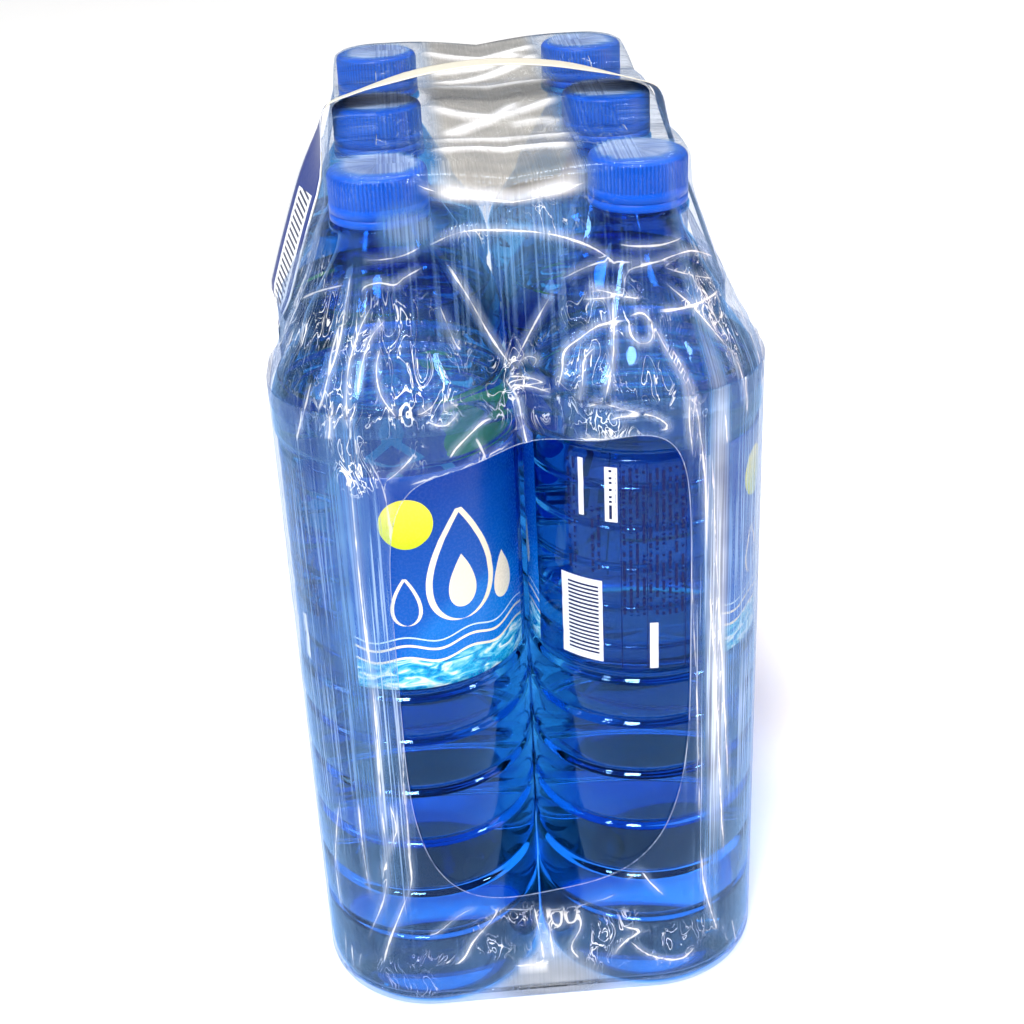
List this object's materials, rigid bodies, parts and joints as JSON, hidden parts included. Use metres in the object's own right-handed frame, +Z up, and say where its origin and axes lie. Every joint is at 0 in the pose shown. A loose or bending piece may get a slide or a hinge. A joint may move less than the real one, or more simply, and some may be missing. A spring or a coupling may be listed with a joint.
{
  "type": "six pack of water bottles",
  "caption": "Shrink-wrapped pack of large blue-tinted plastic water bottles with ribbed walls, screw caps, printed label sleeves and a carrying strap over the top.",
  "frame": {"origin": "centre of the pack's footprint, on the ground", "axes": "+Z up; X across the two columns of bottles; Y along the three rows, with the end shown in the picture facing -Y"},
  "size_m": [0.1776, 0.2624, 0.3436],
  "materials": {
    "bottle_plastic": "clear blue-tinted blown bottle plastic",
    "water": "still clear water seen through blue plastic",
    "cap_plastic": "moulded opaque blue, satin, fine upright ribs",
    "label_film": "printed film sleeve, gloss",
    "shrink_film": "clear shrink film with creases",
    "strap_film": "cream plastic strap with dark blue ends"
  },
  "bodies": {
    "root": {"bottle_front_left": "bottle_plastic", "water_front_left": "water", "cap_front_left": "cap_plastic", "label_front_left": "label_film", "bottle_front_right": "bottle_plastic", "water_front_right": "water", "cap_front_right": "cap_plastic", "label_front_right": "label_film", "bottle_middle_left": "bottle_plastic", "water_middle_left": "water", "cap_middle_left": "cap_plastic", "label_middle_left": "label_film", "bottle_middle_right": "bottle_plastic", "water_middle_right": "water", "cap_middle_right": "cap_plastic", "label_middle_right": "label_film", "bottle_back_left": "bottle_plastic", "water_back_left": "water", "cap_back_left": "cap_plastic", "label_back_left": "label_film", "bottle_back_right": "bottle_plastic", "water_back_right": "water", "cap_back_right": "cap_plastic", "label_back_right": "label_film", "film_wrap": "shrink_film", "carry_strap": "strap_film"}
  },
  "joints": []
}
